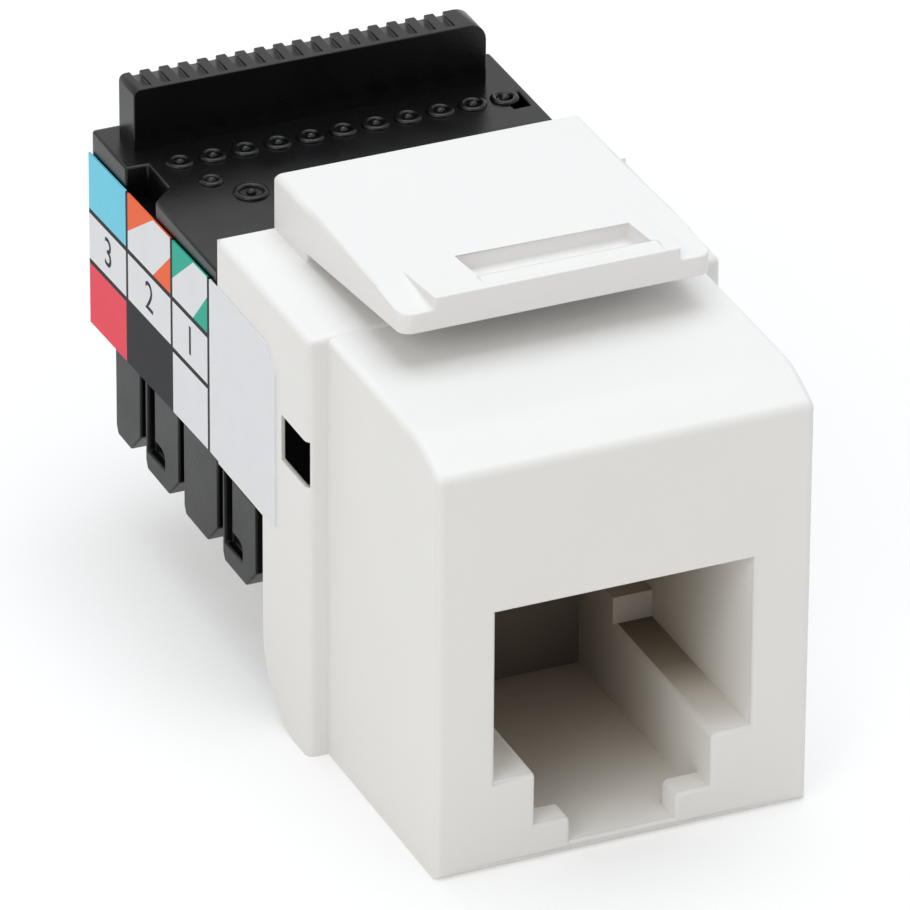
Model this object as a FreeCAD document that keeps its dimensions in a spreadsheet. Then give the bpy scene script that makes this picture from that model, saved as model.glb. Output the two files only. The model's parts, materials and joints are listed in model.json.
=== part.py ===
"""Snap-in keystone jack with a six-position plug port and six insulation-displacement wire slots.

Millimetres, +Z up, +X to the right seen from the front, the plug goes in along +Y.
The origin lies on the flat base, mid-width, in the plane of the collar's front face,
which is the plane that stops against the wall plate.
"""
import FreeCAD, Part
import Sketcher
import os


# ---------------------------------------------------------------- driving sizes

SIZES = [
    # front moulding: block that passes through the plate
    ("body_width", 14.5),
    ("body_height", 17.0),
    ("front_reach", 9.7),
    ("nose_run", 1.9),
    ("nose_drop", 0.8),
    ("nose_round", 0.6),
    ("body_round", 0.3),
    # collar and rear shell; the collar's height is what it stands above the body
    ("collar_width", 16.1),
    ("collar_height", 0.1),
    ("collar_depth", 4.15),
    ("collar_corner", 3.2),
    ("shell_depth", 8.4),
    ("skirt_height", 7.9),
    ("shell_wall", 0.95),
    # snap windows: before and behind the port's rear end, bottom below the block's top
    ("window_front", 1.55),
    ("window_rear", 0.5),
    ("window_bottom", 3.3),
    ("window_height", 1.85),
    # plug port; its top is measured down from the body's top
    ("port_width", 9.94),
    ("port_bottom", 3.6),
    ("port_top", 6.57),
    ("port_floor", 0.45),
    ("shoulder_width", 6.82),
    ("lever_width", 4.08),
    ("lip_top", 1.45),
    ("lip_depth", 1.1),
    ("stop_depth", 8.5),
    ("stop_height", 1.1),
    ("port_depth", 11.45),
    # chamber over the port and the comb opening in its floor
    ("chamber_width", 10.4),
    ("chamber_front", 1.7),
    ("roof_thickness", 0.87),
    ("comb_width", 6.4),
    ("comb_front", 1.9),
    ("comb_rear", 9.9),
    # latch
    ("latch_width", 12.0),
    ("latch_offset", 0.2),
    ("latch_rise", 2.25),
    ("latch_round", 0.3),
    ("root_depth", 3.0),
    ("arm_reach", 8.6),
    ("arm_root_gap", 0.35),
    ("arm_tip_gap", 1.4),
    ("slot_width", 6.85),
    ("slot_offset", 0.6),
    ("slot_depth", 2.0),
    ("slot_sink", 0.55),
    ("tip_lip", 1.1),
    ("lip_raise", 0.35),
    ("ramp_run", 2.9),
    ("lug_width", 1.25),
    ("lug_step", 0.15),
    # connector block: inside the collar's sides, top below the body's top
    ("block_inset", 0.05),
    ("block_reach", 20.7),
    ("block_top", 2.6),
    ("block_floor", 1.15),
    ("block_wall", 1.2),
    ("nose_wall", 0.6),
    ("block_round", 0.4),
    ("nose_plate", 2.0),
    ("plate_corner", 1.3),
    ("barb_recess", 0.3),
    ("fit_gap", 0.06),
    # wire-slot towers: front behind the collar, first slot behind that front
    ("tower_width", 3.0),
    ("tower_drop", 3.8),
    ("tower_front", 0.75),
    ("first_slot", 3.4),
    ("slot_pitch", 3.7),
    ("end_tower", 2.45),
    ("wire_slot", 0.45),
    ("tip_chamfer", 1.0),
    ("tip_rise", 0.35),
    ("groove_width", 0.65),
    ("groove_rim", 0.25),
    ("groove_sink", 0.35),
    ("pocket_width", 1.6),
    ("pocket_height", 0.75),
    ("pocket_lift", 0.8),
    ("pocket_round", 0.35),
    # top cover; the upright wall's front is measured from the block's rear
    ("cover_thickness", 1.3),
    ("slab_front", 2.45),
    ("slab_depth", 1.5),
    ("slab_width", 13.8),
    ("slab_rise", 2.5),
    ("slab_round_left", 0.25),
    ("slab_round_right", 0.7),
    ("notch_width", 0.75),
    ("notch_depth", 0.35),
    ("side_notch_front", 14.3),
    ("side_notch_rear", 17.15),
    ("side_notch_sink", 0.9),
    ("lid_hole_front", 15.95),
    ("lid_hole_length", 1.25),
    ("lid_hole_width", 0.65),
    ("lid_hole_edge", 0.3),
    # circuit board above the leads, leads above the port's roof, blades' tails in the board
    ("board_thickness", 1.0),
    ("board_bottom", 0.55),
    ("board_gap", 0.15),
    ("contact_pitch", 1.02),
    ("contact_width", 0.46),
    ("contact_thickness", 0.3),
    ("lead_height", 0.45),
    ("contact_start", 2.75),
    ("contact_run", 6.5),
    ("contact_fall", 3.7),
    ("carrier_gap", 0.1),
    ("lead_groove", 0.66),
    ("blade_inset", 0.75),
    ("blade_width", 2.7),
    ("blade_thickness", 0.4),
    ("blade_slit", 0.3),
    ("blade_mouth", 0.9),
    ("blade_height", 4.6),
    ("blade_tail", 0.7),
    ("tail_length", 0.99),
    ("blade_gap", 0.06),
    # labels: rear before the block's rear, bottom above the skirt, top below the cover's top
    ("label_thickness", 0.1),
    ("label_front", 2.85),
    ("label_rear", 0.2),
    ("label_bottom", 0.2),
    ("label_top", 0.5),
    ("label_corner", 0.9),
]

CONTACTS = 6
PER_SIDE = 3
SLAB_NOTCHES = 9


class Size:
    """A length that carries its number and the sheet expression that gives it."""

    def __init__(self, number, text):
        self.number = number
        self.text = text

    @staticmethod
    def of(other):
        return other if isinstance(other, Size) else Size(float(other), repr(float(other)))

    def __add__(self, other):
        other = Size.of(other)
        return Size(self.number + other.number, "(%s + %s)" % (self.text, other.text))

    def __sub__(self, other):
        other = Size.of(other)
        return Size(self.number - other.number, "(%s - %s)" % (self.text, other.text))

    def __mul__(self, other):
        other = Size.of(other)
        return Size(self.number * other.number, "(%s * %s)" % (self.text, other.text))

    def __truediv__(self, other):
        other = Size.of(other)
        return Size(self.number / other.number, "(%s / %s)" % (self.text, other.text))

    def __radd__(self, other):
        return Size.of(other) + self

    def __rsub__(self, other):
        return Size.of(other) - self

    def __rmul__(self, other):
        return Size.of(other) * self

    def __neg__(self):
        return Size(-self.number, "(-1 * %s)" % self.text)


class Sheet:
    """The spreadsheet of driving sizes, each read back as a Size attribute."""

    def __init__(self, doc, rows):
        table = doc.addObject("Spreadsheet::Sheet", "Sizes")
        for row, (name, number) in enumerate(rows, start=1):
            table.set("A%d" % row, name)
            table.set("B%d" % row, str(number))
            table.setAlias("B%d" % row, name)
            setattr(self, name, Size(number, "Sizes." + name))


doc = FreeCAD.newDocument("keystone_jack")
S = Sheet(doc, SIZES)
doc.recompute()


# ---------------------------------------------------------------- modelling helpers

# plane of the sketch, whose normal runs along +X, -Y or +Z
PLANES = {"x": "YZ_Plane", "y": "XZ_Plane", "z": "XY_Plane"}


def new_body(label):
    body = doc.addObject("PartDesign::Body", label)
    body.Label = label
    return body


def origin_plane(body, axis):
    for feature in body.Origin.OriginFeatures:
        if feature.Role == PLANES[axis]:
            return feature
    raise RuntimeError("no origin plane " + PLANES[axis])


def outline(body, name, axis, start, end, corners):
    """A closed sketch of straight edges; corners are (y, z), (x, z) or (x, y) for axis x, y or z."""
    sketch = body.newObject("Sketcher::SketchObject", name + "_outline")
    sketch.AttachmentSupport = (origin_plane(body, axis), [""])
    sketch.MapMode = "FlatFace"
    offset = -Size.of(end) if axis == "y" else Size.of(start)
    sketch.AttachmentOffset.Base.z = offset.number
    sketch.setExpression("AttachmentOffset.Base.z", offset.text)
    points = [(Size.of(u), Size.of(v)) for u, v in corners]
    ends = [FreeCAD.Vector(u.number, v.number, 0) for u, v in points]
    for index, point in enumerate(ends):
        following = ends[(index + 1) % len(ends)]
        sketch.addGeometry(Part.LineSegment(point, following), False)
    for index in range(len(ends)):
        link = Sketcher.Constraint("Coincident", index, 2, (index + 1) % len(ends), 1)
        sketch.addConstraint(link)
    for index, pair in enumerate(points):
        for kind, place in zip(("DistanceX", "DistanceY"), pair):
            number = sketch.addConstraint(Sketcher.Constraint(kind, -1, 1, index, 1, place.number))
            sketch.setExpression("Constraints[%d]" % number, place.text)
    return sketch


def extrude(body, kind, name, axis, start, end, corners):
    """Pad or Pocket a straight-edged outline from start to end along an axis."""
    before = body.Shape.Volume if body.Tip else 0.0
    sketch = outline(body, name, axis, start, end, corners)
    feature = body.newObject("PartDesign::" + kind, name)
    feature.Profile = sketch
    length = Size.of(end) - start
    feature.Length = length.number
    feature.setExpression("Length", length.text)
    feature.Reversed = kind == "Pocket"
    doc.recompute()
    change = body.Shape.Volume - before
    if (change <= 1e-6) if kind == "Pad" else (change >= -1e-6):
        raise RuntimeError("%s changes nothing in %s" % (name, body.Label))
    return feature


def pad(body, name, axis, start, end, corners):
    return extrude(body, "Pad", name, axis, start, end, corners)


def pocket(body, name, axis, start, end, corners):
    return extrude(body, "Pocket", name, axis, start, end, corners)


def rectangle(left, right, low, high):
    return [(left, low), (right, low), (right, high), (left, high)]


def dress(body, kind, name, radius, chosen):
    """Fillet or Chamfer the edges of the body for which chosen(edge) is true."""
    base = body.Tip
    edges = ["Edge%d" % (i + 1) for i, edge in enumerate(base.Shape.Edges) if chosen(edge)]
    if not edges:
        raise RuntimeError("no edge for " + name)
    feature = body.newObject("PartDesign::" + kind, name)
    feature.Base = (base, edges)
    size_name = "Radius" if kind == "Fillet" else "Size"
    setattr(feature, size_name, radius.number)
    feature.setExpression(size_name, radius.text)
    doc.recompute()
    return feature


def near(a, b, reach=1e-4):
    return abs(a - Size.of(b).number) < reach


def edge_on(edge, **places):
    """True if every end of a straight edge has the stated x, y or z; abs_x ignores the side."""
    if not isinstance(edge.Curve, Part.Line) and not isinstance(edge.Curve, Part.LineSegment):
        return False
    for vertex in edge.Vertexes:
        at = vertex.Point
        values = {"x": at.x, "y": at.y, "z": at.z, "abs_x": abs(at.x)}
        if not all(near(values[key], place) for key, place in places.items()):
            return False
    return True


# ---------------------------------------------------------------- places that several pieces share

FRONT = -S.front_reach
BODY_SIDE = S.body_width / 2
COLLAR_SIDE = S.collar_width / 2
COLLAR_TOP = S.body_height + S.collar_height
SHELL_INNER = COLLAR_SIDE - S.shell_wall
SHELL_CEILING = COLLAR_TOP - S.shell_wall
PORT_TOP = S.body_height - S.port_top
PORT_REAR = FRONT + S.port_depth
ROOF_TOP = PORT_TOP + S.roof_thickness
CHAMBER_SIDE = S.chamber_width / 2
CHAMBER_FRONT = FRONT + S.chamber_front
HINGE_Y = S.shell_depth - S.root_depth
ARM_LEFT = S.latch_offset - S.latch_width / 2
ARM_RIGHT = S.latch_offset + S.latch_width / 2
ARM_TOP = COLLAR_TOP + S.latch_rise
HINGE_Z = COLLAR_TOP + S.arm_root_gap
TIP_Y = HINGE_Y - S.arm_reach
BLOCK_SIDE = COLLAR_SIDE - S.block_inset
BLOCK_INNER = BLOCK_SIDE - S.block_wall
BLOCK_TOP = S.body_height - S.block_top
NOSE_SIDE = SHELL_INNER - S.fit_gap
NOSE_INNER = NOSE_SIDE - S.nose_wall
BLOCK_FRONT = PORT_REAR + S.fit_gap
BLOCK_BASE = S.skirt_height - S.fit_gap
FLOOR_TOP = BLOCK_BASE + S.block_floor
BLOCK_SHOULDER = S.shell_depth + S.fit_gap
WINDOW_FRONT = PORT_REAR - S.window_front
WINDOW_REAR = PORT_REAR + S.window_rear
WINDOW_BOTTOM = BLOCK_TOP - S.window_bottom
WINDOW_TOP = WINDOW_BOTTOM + S.window_height
TOWER_FRONT = S.collar_depth + S.tower_front
TOWER_INNER = BLOCK_SIDE - S.tower_width
TOWER_TIP = BLOCK_BASE - S.tower_drop
POCKET_FOOT = TOWER_TIP + S.pocket_lift
POCKET_TOP = POCKET_FOOT + S.pocket_height
BLADE_X = TOWER_INNER + S.blade_inset
LEAD_BOTTOM = ROOF_TOP + S.lead_height
LEAD_TOP = LEAD_BOTTOM + S.contact_thickness
BOARD_BOTTOM = LEAD_TOP + S.board_bottom
BOARD_TOP = BOARD_BOTTOM + S.board_thickness
COVER_TOP = BLOCK_TOP + S.cover_thickness
SLAB_FRONT = S.block_reach - S.slab_front
CONTACT_PIVOT_Y = FRONT + S.contact_start
CONTACT_PIVOT_Z = PORT_TOP + S.contact_thickness * 1.5


def wire_slot_y(number):
    """Middle of the wire slot, counted from the front."""
    return TOWER_FRONT + S.first_slot + S.slot_pitch * number


def contact_x(number):
    return S.contact_pitch * (number - (CONTACTS - 1) / 2)


# ---------------------------------------------------------------- front housing

def port_outline(low, high, shoulder):
    """Wide port above a narrower shoulder slot, both centred."""
    wide = S.port_width / 2
    narrow = S.shoulder_width / 2
    return [
        (-wide, shoulder), (-narrow, shoulder), (-narrow, low), (narrow, low),
        (narrow, shoulder), (wide, shoulder), (wide, high), (-wide, high),
    ]


def front_port_outline():
    """The opening in the face: port, shoulder slot and the lever slot between the two lips."""
    wide = S.port_width / 2
    narrow = S.shoulder_width / 2
    lever = S.lever_width / 2
    right = [
        (lever, S.port_floor), (lever, S.lip_top), (narrow, S.lip_top),
        (narrow, S.port_bottom), (wide, S.port_bottom), (wide, PORT_TOP),
    ]
    return right + [(-x, z) for x, z in reversed(right)]


def make_front_housing():
    body = new_body("front_housing")
    side = [
        (FRONT, 0), (S.lip_depth, 0), (S.lip_depth, S.body_height),
        (FRONT + S.nose_run, S.body_height), (FRONT, S.body_height - S.nose_drop),
    ]
    pad(body, "plate_block", "x", -BODY_SIDE, BODY_SIDE, side)
    shell = [
        (0, 0), (S.collar_depth, 0), (S.collar_depth, S.skirt_height),
        (S.shell_depth, S.skirt_height), (S.shell_depth, COLLAR_TOP), (0, COLLAR_TOP),
    ]
    pad(body, "collar_and_shell", "x", -COLLAR_SIDE, COLLAR_SIDE, shell)
    root = rectangle(HINGE_Y, S.shell_depth, COLLAR_TOP - S.shell_wall / 2, ARM_TOP)
    pad(body, "latch_root", "x", ARM_LEFT, ARM_RIGHT, root)
    dress(body, "Fillet", "collar_corner_round", S.collar_corner,
          lambda edge: edge_on(edge, y=S.collar_depth, z=0))
    dress(body, "Fillet", "nose_round_edge", S.nose_round,
          lambda edge: edge_on(edge, y=FRONT + S.nose_run, z=S.body_height))
    dress(body, "Fillet", "face_round_edges", S.body_round,
          lambda edge: edge_on(edge, y=FRONT, abs_x=BODY_SIDE))
    dress(body, "Fillet", "root_round_edges", S.latch_round,
          lambda edge: edge_on(edge, x=ARM_LEFT, z=ARM_TOP) or edge_on(edge, x=ARM_RIGHT, z=ARM_TOP)
          or edge_on(edge, y=S.shell_depth, z=ARM_TOP))
    behind_lip = FRONT + S.lip_depth
    pocket(body, "port_mouth", "y", FRONT, behind_lip, front_port_outline())
    pocket(body, "port_middle", "y", behind_lip, FRONT + S.stop_depth,
           port_outline(S.port_floor, PORT_TOP, S.port_bottom))
    pocket(body, "port_end", "y", FRONT + S.stop_depth, PORT_REAR,
           port_outline(S.port_floor, PORT_TOP, S.port_bottom + S.stop_height))
    pocket(body, "rear_cavity", "y", PORT_REAR, S.shell_depth,
           rectangle(-SHELL_INNER, SHELL_INNER, S.port_floor, SHELL_CEILING))
    pocket(body, "contact_chamber", "y", CHAMBER_FRONT, PORT_REAR,
           rectangle(-CHAMBER_SIDE, CHAMBER_SIDE, ROOF_TOP, SHELL_CEILING))
    pocket(body, "comb_opening", "z", PORT_TOP, ROOF_TOP,
           rectangle(-S.comb_width / 2, S.comb_width / 2, FRONT + S.comb_front, FRONT + S.comb_rear))
    window = rectangle(WINDOW_FRONT, WINDOW_REAR, WINDOW_BOTTOM, WINDOW_TOP)
    window_floor = NOSE_INNER - S.fit_gap
    pocket(body, "snap_window_left", "x", -COLLAR_SIDE, -window_floor, window)
    pocket(body, "snap_window_right", "x", window_floor, COLLAR_SIDE, window)
    return body


# ---------------------------------------------------------------- latch arm

def make_latch_arm():
    """Sprung arm on top: tapered to its tip, with a ramped lip and a slot that hold the plate's edge."""
    body = new_body("latch_arm")
    tip_under = S.body_height + S.arm_tip_gap
    side = [(HINGE_Y, HINGE_Z), (HINGE_Y, ARM_TOP), (TIP_Y, ARM_TOP), (TIP_Y, tip_under)]
    pad(body, "arm", "x", ARM_LEFT, ARM_RIGHT, side)
    dress(body, "Fillet", "arm_round_edges", S.latch_round,
          lambda edge: edge_on(edge, x=ARM_LEFT, z=ARM_TOP) or edge_on(edge, x=ARM_RIGHT, z=ARM_TOP)
          or edge_on(edge, x=ARM_LEFT, y=TIP_Y) or edge_on(edge, x=ARM_RIGHT, y=TIP_Y))
    lip_top = ARM_TOP + S.lip_raise
    ramp_left = ARM_LEFT + S.lug_width
    ramp_right = ARM_RIGHT - S.lug_width
    ramp = [(TIP_Y + S.ramp_run, ARM_TOP), (TIP_Y, lip_top), (TIP_Y, ARM_TOP - S.slot_sink / 2),
            (TIP_Y + S.ramp_run, ARM_TOP - S.slot_sink / 2)]
    pad(body, "lip_ramp", "x", ramp_left, ramp_right, ramp)
    slot_left = S.slot_offset - S.slot_width / 2
    slot_right = S.slot_offset + S.slot_width / 2
    slot_front = TIP_Y + S.tip_lip
    pad(body, "plate_lip", "z", ARM_TOP - S.slot_sink / 2, lip_top,
        rectangle(slot_left, slot_right, TIP_Y, slot_front))
    pocket(body, "plate_slot", "z", ARM_TOP - S.slot_sink, lip_top,
           rectangle(slot_left, slot_right, slot_front, slot_front + S.slot_depth))
    for side_name, inner, outer in (("left", ARM_LEFT, ramp_left), ("right", ramp_right, ARM_RIGHT)):
        step = rectangle(inner, outer, TIP_Y, slot_front)
        pocket(body, "corner_step_" + side_name, "z", ARM_TOP - S.lug_step, ARM_TOP, step)
    return body


# ---------------------------------------------------------------- contacts and their carrier

def make_contact_carrier():
    """Comb block over the port that holds the six contact wires."""
    body = new_body("contact_carrier")
    side = CHAMBER_SIDE - S.carrier_gap
    low = ROOF_TOP + S.carrier_gap
    high = SHELL_CEILING - S.carrier_gap
    front = CHAMBER_FRONT + S.carrier_gap
    pad(body, "comb_block", "y", front, PORT_REAR - S.carrier_gap, rectangle(-side, side, low, high))
    for number in range(CONTACTS):
        middle = contact_x(number)
        groove = rectangle(middle - S.lead_groove / 2, middle + S.lead_groove / 2,
                           low, LEAD_TOP + S.carrier_gap / 2)
        pocket(body, "lead_groove_%d" % (number + 1), "y", front, PORT_REAR - S.carrier_gap, groove)
    return body


def lead_outline():
    """Fixed stretch of one wire: down-turned front, run under the board, tail up through it."""
    front = CONTACT_PIVOT_Y
    tail = BLOCK_FRONT + S.nose_plate + S.blade_gap
    wire = S.contact_thickness
    return [
        (front, ROOF_TOP + S.carrier_gap), (front + wire, ROOF_TOP + S.carrier_gap),
        (front + wire, LEAD_BOTTOM), (tail + wire, LEAD_BOTTOM),
        (tail + wire, BOARD_TOP), (tail, BOARD_TOP), (tail, LEAD_TOP), (front, LEAD_TOP),
    ]


def make_contact_leads():
    """The six fixed wire stretches, side by side in the carrier's grooves."""
    wires = []
    for number in range(CONTACTS):
        wire = new_body("lead_%d" % (number + 1))
        left = contact_x(number) - S.contact_width / 2
        pad(wire, "wire_%d" % (number + 1), "x", left, left + S.contact_width, lead_outline())
        wires.append(wire)
    group = doc.addObject("Part::Compound", "contact_leads")
    group.Links = wires
    group.Label = "contact_leads"
    return group


def make_contact_spring(number):
    """Free end of one contact: a flat wire that slants back and down into the port."""
    body = new_body("contact_spring_%d" % (number + 1))
    wire = S.contact_thickness
    start_y = CONTACT_PIVOT_Y
    start_z = CONTACT_PIVOT_Z
    end_y = start_y + S.contact_run
    end_z = start_z - S.contact_fall
    side = [
        (start_y, start_z), (end_y, end_z), (end_y + wire * 2, end_z + wire / 2),
        (end_y + wire * 2, end_z + wire * 1.5), (end_y, end_z + wire * 1.2),
        (start_y + wire, start_z + wire), (start_y, start_z + wire),
    ]
    left = contact_x(number) - S.contact_width / 2
    pad(body, "spring_wire_%d" % (number + 1), "x", left, left + S.contact_width, side)
    return body


# ---------------------------------------------------------------- circuit board

def make_circuit_board():
    """Board that joins the contact leads to the blades' tails, with a hole for each."""
    body = new_body("circuit_board")
    side = BLOCK_INNER - S.board_gap
    front = BLOCK_FRONT + S.nose_plate - S.block_wall / 2
    rear = S.block_reach - S.block_wall - S.board_gap
    neck = NOSE_INNER - S.board_gap
    shoulder = BLOCK_SHOULDER + S.block_wall
    board = [
        (-neck, front), (neck, front), (neck, shoulder), (side, shoulder),
        (side, rear), (-side, rear), (-side, shoulder), (-neck, shoulder),
    ]
    pad(body, "board", "z", BOARD_BOTTOM, BOARD_TOP, board)
    hole = S.blade_gap
    for side_name, sign in (("left", -1), ("right", 1)):
        for number in range(PER_SIDE):
            middle = BLADE_X * sign
            half = S.blade_thickness / 2 + hole
            tail = wire_slot_y(number)
            reach = S.blade_tail / 2 + hole
            pocket(body, "tail_hole_%s_%d" % (side_name, number + 1), "z", BOARD_BOTTOM, BOARD_TOP,
                   rectangle(middle - half, middle + half, tail - reach, tail + reach))
    tail = BLOCK_FRONT + S.nose_plate + S.blade_gap
    for number in range(CONTACTS):
        half = S.contact_width / 2 + hole
        middle = contact_x(number)
        pocket(body, "lead_hole_%d" % (number + 1), "z", BOARD_BOTTOM, BOARD_TOP,
               rectangle(middle - half, middle + half, tail - hole, tail + S.contact_thickness + hole))
    return body


# ---------------------------------------------------------------- connector block

def tower_marks():
    """Front and rear of each tower, from the front one to the narrow end one."""
    half = S.wire_slot / 2
    marks = []
    start = TOWER_FRONT
    for number in range(PER_SIDE):
        marks.append((start, wire_slot_y(number) - half))
        start = wire_slot_y(number) + half
    marks.append((start, start + S.end_tower))
    return marks


def tower_outline(front, rear):
    """Side view of a tower: its front lower corner is cut away widely, its rear one a little."""
    return [
        (front, BLOCK_BASE), (front, TOWER_TIP + S.tip_chamfer), (front + S.tip_chamfer, TOWER_TIP),
        (rear - S.tip_rise / 2, TOWER_TIP), (rear, TOWER_TIP + S.tip_rise), (rear, BLOCK_BASE),
    ]


def groove_outline(rear):
    """Upright groove near a tower's rear edge, opening into a pocket at its foot."""
    end = rear - S.groove_rim
    start = end - S.groove_width
    return [
        (start, BLOCK_BASE), (start, POCKET_TOP), (end - S.pocket_width, POCKET_TOP),
        (end - S.pocket_width, POCKET_FOOT), (end, POCKET_FOOT), (end, BLOCK_BASE),
    ]


def make_connector_block():
    """Black block behind the port: nose plate, snap barbs, open board well and two tower rows."""
    body = new_body("connector_block")
    rear = S.block_reach
    pad(body, "rear_box", "z", BLOCK_BASE, BLOCK_TOP,
        rectangle(-BLOCK_SIDE, BLOCK_SIDE, BLOCK_SHOULDER, rear))
    dress(body, "Fillet", "rear_corner_rounds", S.block_round,
          lambda edge: edge_on(edge, y=rear, abs_x=BLOCK_SIDE))
    pad(body, "shell_nose", "z", BLOCK_BASE, BLOCK_TOP,
        rectangle(-NOSE_SIDE, NOSE_SIDE, BLOCK_FRONT, BLOCK_SHOULDER))
    plate_rear = BLOCK_FRONT + S.nose_plate
    plate_low = S.port_floor + S.fit_gap
    port_back = [
        (BLOCK_FRONT, plate_low), (plate_rear - S.plate_corner, plate_low),
        (plate_rear, plate_low + S.plate_corner), (plate_rear, BLOCK_BASE), (BLOCK_FRONT, BLOCK_BASE),
    ]
    pad(body, "port_back", "x", -NOSE_SIDE, NOSE_SIDE, port_back)
    inner = NOSE_INNER
    rear_inner = rear - S.block_wall
    well = [
        (-inner, plate_rear), (inner, plate_rear), (inner, BLOCK_SHOULDER + S.block_wall),
        (BLOCK_INNER, BLOCK_SHOULDER + S.block_wall), (BLOCK_INNER, rear_inner),
        (-BLOCK_INNER, rear_inner), (-BLOCK_INNER, BLOCK_SHOULDER + S.block_wall),
        (-inner, BLOCK_SHOULDER + S.block_wall),
    ]
    pocket(body, "board_well", "z", FLOOR_TOP, BLOCK_TOP, well)
    seat = rectangle(-inner, inner, plate_rear - S.block_wall / 2 - S.board_gap, plate_rear)
    pocket(body, "board_seat", "z", BOARD_BOTTOM, BLOCK_TOP, seat)
    pocket(body, "lead_pass", "y", BLOCK_FRONT, plate_rear,
           rectangle(-S.comb_width / 2, S.comb_width / 2, LEAD_BOTTOM - S.blade_gap, LEAD_TOP + S.blade_gap))
    for side_name, sign in (("left", -1), ("right", 1)):
        inward = TOWER_INNER * sign
        outward = BLOCK_SIDE * sign
        low, high = (outward, inward) if sign < 0 else (inward, outward)
        marks = tower_marks()
        for number, (front, back) in enumerate(marks):
            pad(body, "tower_%s_%d" % (side_name, number + 1), "x", low, high, tower_outline(front, back))
        for number in (0, 2):
            face, floor = outward, outward - S.groove_sink * sign
            low_cut, high_cut = (face, floor) if sign < 0 else (floor, face)
            pocket(body, "groove_%s_%d" % (side_name, number + 1), "x", low_cut, high_cut,
                   groove_outline(marks[number][1]))
            pocket_front = marks[number][1] - S.groove_rim - S.pocket_width
            dress(body, "Fillet", "pocket_round_%s_%d" % (side_name, number + 1), S.pocket_round,
                  lambda edge: edge_on(edge, y=pocket_front, z=POCKET_TOP) and edge.CenterOfMass.x * sign > 0)
        for number in range(PER_SIDE):
            middle = BLADE_X * sign
            half = S.blade_thickness / 2 + S.blade_gap
            reach = S.blade_width / 2 + S.blade_gap
            centre = wire_slot_y(number)
            bottom = FLOOR_TOP - S.blade_height - S.blade_gap
            pocket(body, "blade_slot_%s_%d" % (side_name, number + 1), "z", bottom, FLOOR_TOP,
                   rectangle(middle - half, middle + half, centre - reach, centre + reach))
    for side_name, sign in (("left", -1), ("right", 1)):
        barb_face = (COLLAR_SIDE - S.barb_recess) * sign
        foot = NOSE_INNER * sign
        low, high = (barb_face, foot) if sign < 0 else (foot, barb_face)
        barb = rectangle(WINDOW_FRONT + S.fit_gap, WINDOW_REAR - S.fit_gap,
                         WINDOW_BOTTOM + S.fit_gap, WINDOW_TOP - S.fit_gap)
        pad(body, "snap_barb_" + side_name, "x", low, high, barb)
    return body


# ---------------------------------------------------------------- blades

def make_blade(side_name, sign, number):
    """Fork of sheet metal: two prongs with a slit between them, and a tail up into the board."""
    body = new_body("blade_%s_%d" % (side_name, number + 1))
    centre = wire_slot_y(number)
    wide = S.blade_width / 2
    slit = S.blade_slit / 2
    mouth = S.blade_mouth / 2
    tail = S.blade_tail / 2
    low = FLOOR_TOP - S.blade_height
    high = FLOOR_TOP
    right = [
        (centre + slit, high - S.blade_height / 4), (centre + slit, low + mouth * 2),
        (centre + mouth, low), (centre + wide, low), (centre + wide, high),
        (centre + tail, high), (centre + tail, BOARD_BOTTOM + S.tail_length),
    ]
    left = [(centre - (y - centre), z) for y, z in reversed(right)]
    middle = BLADE_X * sign
    half = S.blade_thickness / 2
    pad(body, "fork_%s_%d" % (side_name, number + 1), "x", middle - half, middle + half, right + left)
    return body


# ---------------------------------------------------------------- top cover

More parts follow.
